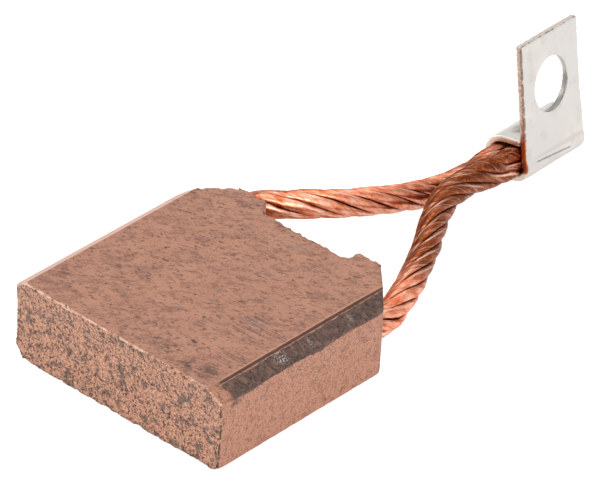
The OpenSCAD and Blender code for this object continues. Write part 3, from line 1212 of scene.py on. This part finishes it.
@dataclass
class CarbonBlock:
    """The pressed block, with its surface broken up by grain, pits and worn edges."""

    name: str = "pressed_block"
    node: str = "carbon_block"
    half_width: float = 15.0
    thickness: float = 10.0
    commutator: float = 32.0
    commutator_y: float = -46.857
    bevel_top: tuple[float, float] = (13.2, 9.8)
    bevel_foot: tuple[float, float] = (15.0, 8.7)
    left_bevel: tuple[float, float] = (1.4, 0.8)
    mesh_scale: float = 0.66
    soft_rounds: int = 6
    worn_rounds: int = 20
    bite: float = 1.5
    plain_breakage: float = 0.3
    edges: Sequence[WornEdge] = WORN_EDGES
    marks: Sequence[Mark] = MARKS

    def build(self, source: bpy.types.Object, finish: bpy.types.Material) -> bpy.types.Object:
        """Builds the block from a copy of its CAD solid.

        Args:
            source: the CAD node's object.
            finish: the block's material.

        Returns:
            The block.
        """
        block = even_copy(source, self.name, self.mesh_scale)
        self.weather(block.data)
        block.data.shade_smooth()
        block.data.materials.clear()
        block.data.materials.append(finish)
        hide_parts(self.node)
        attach(block, BODY)
        LOG.info("%s: %d triangles", self.name, triangle_count(block.data))
        return block

    def weather(self, mesh: bpy.types.Mesh) -> None:
        """Breaks the edges, sinks the pits and roughens the faces, and records the traces.

        Args:
            mesh: the block's even mesh.
        """
        points = read_rows(mesh.vertices, "co", 3) * PER_MM
        normals = read_rows(mesh.vertex_normals, "vector", 3)
        mesh_edges = read_rows(mesh.edges, "vertices", 2)
        soft = relaxed(points, mesh_edges, self.soft_rounds)
        worn = relaxed(soft, mesh_edges, self.worn_rounds)
        sharp = ease(0.02, 0.09, ((points - soft) * normals).sum(1))
        coarse = noise_at(points, 2.3, 3.0)
        medium = noise_at(points, 0.85, 17.0)
        fine = noise_at(points, 0.4, 41.0)
        faces = self.faces(points, normals, coarse, medium)
        breakage, darkness, shine = self.edge_wear(points)
        chips = sharp * breakage * ease(-0.1, 0.35, medium + 0.5 * coarse)
        rounding = np.clip(0.45 * sharp * (0.4 + breakage), 0, 1)
        moved = points + (soft - points) * rounding[:, None]
        moved += (worn - soft) * np.clip(chips * self.bite, 0, self.bite)[:, None]
        sink = np.zeros(len(points))
        traces = {trace.value: np.zeros(len(points)) for trace in Trace}
        for mark in self.marks:
            off = np.linalg.norm((points - mark.place) / mark.reach, axis=1)
            if mark.trace in (Trace.STAIN, Trace.SMUDGE, Trace.SCRATCH):
                level = ease(1.0, 0.15, off * (1 + 0.45 * medium) + 0.3 * fine)
            else:
                level = ease(1.0, 0.4, off * (1 + 0.25 * medium))
            level = level * mark.strength
            traces[mark.trace.value] = np.maximum(traces[mark.trace.value], level)
            sink = np.maximum(sink, level * mark.sink)
        pores = ease(0.42, 0.62, fine) * (0.05 * faces["contact_face"] + 0.022)
        lumps = 0.012 * medium + 0.03 * fine * faces["contact_face"] + 0.008 * fine
        moved += normals * (lumps - pores - sink)[:, None]
        place_points(mesh, moved * MM)
        rotten = ease(-0.3, 0.15, medium + 0.4 * coarse + 0.3 * fine)
        faces["broken_edge"] = ease(0.1, 0.6, sharp) * darkness * rotten
        # Pale edge line: worn copper with a painted highlight.
        edge_line = ease(0.35, 0.8, sharp) * shine
        faces["worn_edge_highlight"] = edge_line * (0.35 + 0.65 * ease(-0.3, 0.3, medium + 0.4 * coarse))
        for name, values in (faces | traces).items():
            write_attribute(mesh, name, values)

    def faces(
        self, points: np.ndarray, normals: np.ndarray, coarse: np.ndarray, medium: np.ndarray
    ) -> dict[str, np.ndarray]:
        """Tells the contact face, the right side and the two bevels from the rest.

        Args:
            points: the vertices in millimetres.
            normals: the vertices' normals.
            coarse: noise of a few millimetres.
            medium: noise of under a millimetre.

        Returns:
            One attribute for each kind of face, ragged where its border wanders.
        """
        x, y, z = points.T
        across = np.hypot(y - self.commutator_y, z - self.thickness / 2) - self.commutator
        hollow = ease(0.3, 0.12, np.abs(across) + 0.08 * medium) * ease(-13.6, -14.2, y)
        top_x, top_z = self.bevel_top
        foot_x, foot_z = self.bevel_foot
        slant = math.hypot(foot_x - top_x, top_z - foot_z)
        down = (x - top_x) * (foot_x - top_x) / slant + (top_z - z) * (top_z - foot_z) / slant
        down = np.where(z < foot_z, slant + foot_z - z, down)
        down = np.where(x < top_x, x - top_x, down)
        band = ease(0.22, 0.42, down + 0.12 * medium)
        band *= ease(slant + 0.5, slant + 0.2, down + 0.2 * coarse + 0.15 * medium)
        band *= (x > top_x - 0.3) * ease(-14.0, -12.4, y + 0.5 * medium)
        drop, wide = self.left_bevel[1], self.left_bevel[0]
        left_slope = ease(0.15, 0.45, normals[:, 2]) * ease(-0.2, -0.4, normals[:, 0])
        pale = left_slope * (x < wide - self.half_width + 0.2) * (z > self.thickness - drop - 0.3)
        return {
            "contact_face": hollow,
            "right_side": ease(0.7, 0.95, normals[:, 0]) * ease(8.9, 8.4, z),
            "burnished_bevel": band,
            "pale_bevel": pale * ease(-0.6, 0.3, medium + 0.6),
            "upper_right": ease(12.6, 12.9, x) * ease(9.2, 9.5, z) * ease(-13.9, -13.0, y),
        }

    def edge_wear(self, points: np.ndarray) -> tuple[np.ndarray, np.ndarray, np.ndarray]:
        """Looks up how each vertex's stretch of edge has worn.

        Args:
            points: the vertices in millimetres.

        Returns:
            Breakage, darkness and shine.
        """
        levels = np.zeros((3, len(points)))
        levels[0] = self.plain_breakage
        for stretch in self.edges:
            inside = np.all((points > stretch.low) & (points < stretch.high), axis=1)
            levels[:, inside] = np.array(
                [[stretch.breakage], [stretch.darkness], [stretch.shine]]
            )
        return levels[0], levels[1], levels[2]


@dataclass
class FoldedLug:
    """The terminal lug: one sheared strip, folded round the shunts' ends and lightly bruised."""

    name: str = "folded_lug"
    node: str = "terminal_lug"
    sheet: float = 0.8
    width: float = 11.2
    height: float = 16.6
    hole_radius: float = 3.2
    hole_drop: float = 6.35
    barrel_height: float = 5.4
    mesh_scale: float = 0.55
    eased_rounds: int = 3
    crease: tuple[tuple[float, float], tuple[float, float]] = ((0.5, 2.2), (8.5, 1.45))
    frame: LugFrame = field(default_factory=LugFrame)

    def build(self, source: bpy.types.Object, finish: bpy.types.Material) -> bpy.types.Object:
        """Builds the lug from a copy of its CAD solid.

        Args:
            source: the CAD node's object.
            finish: the lug's material.

        Returns:
            The lug.
        """
        lug = even_copy(source, self.name, self.mesh_scale)
        self.bruise(lug.data)
        lug.data.shade_smooth()
        lug.data.materials.clear()
        lug.data.materials.append(finish)
        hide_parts(self.node)
        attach(lug, BODY)
        LOG.info("%s: %d triangles", self.name, triangle_count(lug.data))
        return lug

    def bruise(self, mesh: bpy.types.Mesh) -> None:
        """Eases the cut edges, presses the crease and flares a corner, and records the traces.

        Args:
            mesh: the lug's even mesh.
        """
        turn = np.array(self.frame.matrix())
        points = (read_rows(mesh.vertices, "co", 3) * PER_MM - self.frame.place) @ turn
        normals = read_rows(mesh.vertex_normals, "vector", 3) @ turn
        soft = relaxed(points, read_rows(mesh.edges, "vertices", 2), self.eased_rounds)
        sharp = ease(0.01, 0.05, ((points - soft) * normals).sum(1))
        wave = noise_at(points, 5.0, 5.0, 2)
        fine = noise_at(points, 0.6, 9.0)
        x, y, z = points.T
        front = ease(-0.5, -0.2, x) * ease(0.3, 0.7, normals[:, 0])
        pressed = self.along_crease(y, z)
        traces = self.traces(points, normals, sharp, fine)
        # Painted shade along the pressed crease, on the front of the barrel.
        traces["crease"] = front * ease(0.2, 0.06, pressed) * ease(1.2, 2.6, y + 1.2 * fine)
        moved = soft + normals * (0.035 * wave + 0.006 * fine)[:, None]
        moved -= normals * (0.06 * front * ease(0.45, 0.0, pressed))[:, None]
        flare = ease(8.6, 11.2, y) * ease(9.0, 3.0, z) * 0.8
        moved[:, 0] += 0.14 * flare
        moved[:, 1] += 0.28 * flare
        dent = ease(0.55, 0.0, np.hypot(y - 9.0, z - 1.75)) * front
        moved[:, 0] += 0.14 * dent
        place_points(mesh, (moved @ turn.T + self.frame.place) * MM)
        for name, values in traces.items():
            write_attribute(mesh, name, values)

    def along_crease(self, y: np.ndarray, z: np.ndarray) -> np.ndarray:
        """Measures how far each point lies from the crease's line.

        Args:
            y: places along the barrel.
            z: heights over the barrel's underside.

        Returns:
            The distances in millimetres.
        """
        start, end = np.array(self.crease)
        run = end - start
        share = np.clip(((y - start[0]) * run[0] + (z - start[1]) * run[1]) / (run @ run), 0, 1)
        return np.hypot(y - start[0] - share * run[0], z - start[1] - share * run[1])

    def traces(
        self, points: np.ndarray, normals: np.ndarray, sharp: np.ndarray, fine: np.ndarray
    ) -> dict[str, np.ndarray]:
        """Tells the sheared edges, burrs, the copper-tinted edge and the places laid with painted
        shade from the plain sheet.

        Args:
            points: the vertices in the lug's own frame, in millimetres.
            normals: the vertices' normals in the same frame.
            sharp: how near each vertex is to an edge.
            fine: noise of under a millimetre.

        Returns:
            One attribute for each kind of place.
        """
        x, y, z = points.T
        cut = ease(0.5, 0.85, np.abs(normals[:, 1]))
        tongue = ease(self.barrel_height - 0.6, self.barrel_height + 0.4, z)
        hole_z = self.height - self.hole_drop
        from_hole = np.hypot(y - self.width / 2, z - hole_z)
        wall = (from_hole < self.hole_radius + 0.25) * ease(0.6, 0.3, np.abs(normals[:, 0]))
        near = ease(0.5, 0.2, y)
        strip = cut * near * ease(-self.sheet - 0.15, -self.sheet, x)
        top = ease(0.35, 0.8, normals[:, 2]) * (z > self.height - 0.6)
        # Arcs of the hole whose wall and edge are laid dark as painted shade.
        round_hole = np.arctan2(z - hole_z, y - self.width / 2)
        dark_arc = ease(0.5, 0.9, np.cos(round_hole + 0.75))
        dark_low = ease(0.93, 0.99, np.cos(round_hole + 1.75))
        front_rim = ease(0.22, 0.08, np.hypot(x, y))
        back_rim = ease(0.16, 0.06, np.hypot(x + self.sheet, y))
        rim = front_rim + back_rim * 0.4
        top_line = ease(0.16, 0.06, np.hypot(x, z - self.height)) * ease(0.1, -0.3, fine)
        hole_line = sharp * (from_hole < self.hole_radius + 0.25) * ease(-0.6, -0.2, x)
        on_barrel = z > self.barrel_height - 1.2
        # Painted shade on the barrel's top, between its rim and the tongue.
        smudge = ease(1.6, 0.4, np.hypot(x + 2.2, (y - 2.6) / 1.3)) * on_barrel
        return {
            "sheared": np.clip(strip * ease(1.0, 4.0, z) + 0.5 * top, 0, 1) * (wall < 0.5),
            "pale_rim": cut * near * (1 - strip * ease(1.0, 4.0, z)),
            "burr": np.clip(rim * ease(3.5, 6.0, z) * ease(-0.6, 0.0, fine) + top_line, 0, 1),
            "copper_tint_beside_ropes": strip * ease(6.6, 4.6, z + fine) * ease(0.7, 1.6, z),
            "hole_and_barrel_shade": np.clip(smudge + wall * (0.25 + 0.75 * (dark_arc + dark_low)), 0, 1) * tongue
            + smudge * (1 - tongue) * ease(-0.6, 0.2, fine),
            "hole_edge_shade": hole_line * (0.15 + 0.85 * np.maximum(dark_arc, dark_low)),
        }


LEFT_ROUTE = Route(
    exit_x=-9.6,
    exit_z=7.3,
    free=(
        (-9.5, 1.1, 7.4), (-8.7, 2.1, 7.5), (-7.5, 3.5, 7.4), (-6.2, 5.3, 7.3), (-4.5, 8.1, 6.9),
        (-3.1, 11.7, 6.1), (-2.2, 15.4, 5.2), (-1.9, 18.5, 4.3), (-1.8, 21.5, 3.5),
        (-1.6, 24.6, 2.9), (-1.2, 27.7, 2.8), (-0.8, 30.5, 3.5),
    ),
    barrel_x=-3.65,
)
RIGHT_ROUTE = Route(
    exit_x=10.8,
    exit_z=2.7,
    free=(
        (10.6, 1.7, 2.8), (10.0, 3.7, 3.1), (9.2, 6.0, 3.3), (8.1, 8.4, 3.6), (7.1, 10.6, 4.0),
        (5.9, 12.9, 4.3), (4.5, 15.2, 4.6), (3.0, 17.9, 4.9), (1.8, 20.8, 5.0), (1.2, 24.1, 4.8),
        (1.0, 27.5, 4.4), (1.1, 30.5, 3.9),
    ),
    barrel_x=-1.75,
)


def main() -> None:
    """Builds the brush, its studio and its camera, and reports each piece."""
    logging.basicConfig(level=logging.INFO, format="%(name)s: %(message)s")
    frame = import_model()
    StudioCamera().build()
    lug = LugFrame()
    copper = StrandedCopper().material()
    lug_piece = FoldedLug(frame=lug).build(frame["nodes"]["terminal_lug"], TinnedSheet().material())
    shunts = (
        StrandedShunt(
            name="left_shunt_rope",
            node="shunt_left",
            route=LEFT_ROUTE,
            turn_at=((0, 1.0), (60, 920.0)),
            browning=((0, 0.05), (30, 0.1), (40, 0.45)),
            seed=11,
        ),
        StrandedShunt(
            name="right_shunt_rope",
            node="shunt_right",
            route=RIGHT_ROUTE,
            turn_at=((0, -574.0), (31, 0.0), (33, 36.0), (37, 100.0), (60, 420.0)),
            browning=((0, 0.05), (14, 0.2), (18, 0.75), (30, 0.7), (40, 0.8)),
            seed=23,
        ),
    )
    for shunt in shunts:
        rope = shunt.build(lug, copper)
        shunt.declare(rope, lug_piece)
    CarbonBlock().build(frame["nodes"]["carbon_block"], CopperGraphite().material())
    Studio().build()


if __name__ == "__main__":
    main()
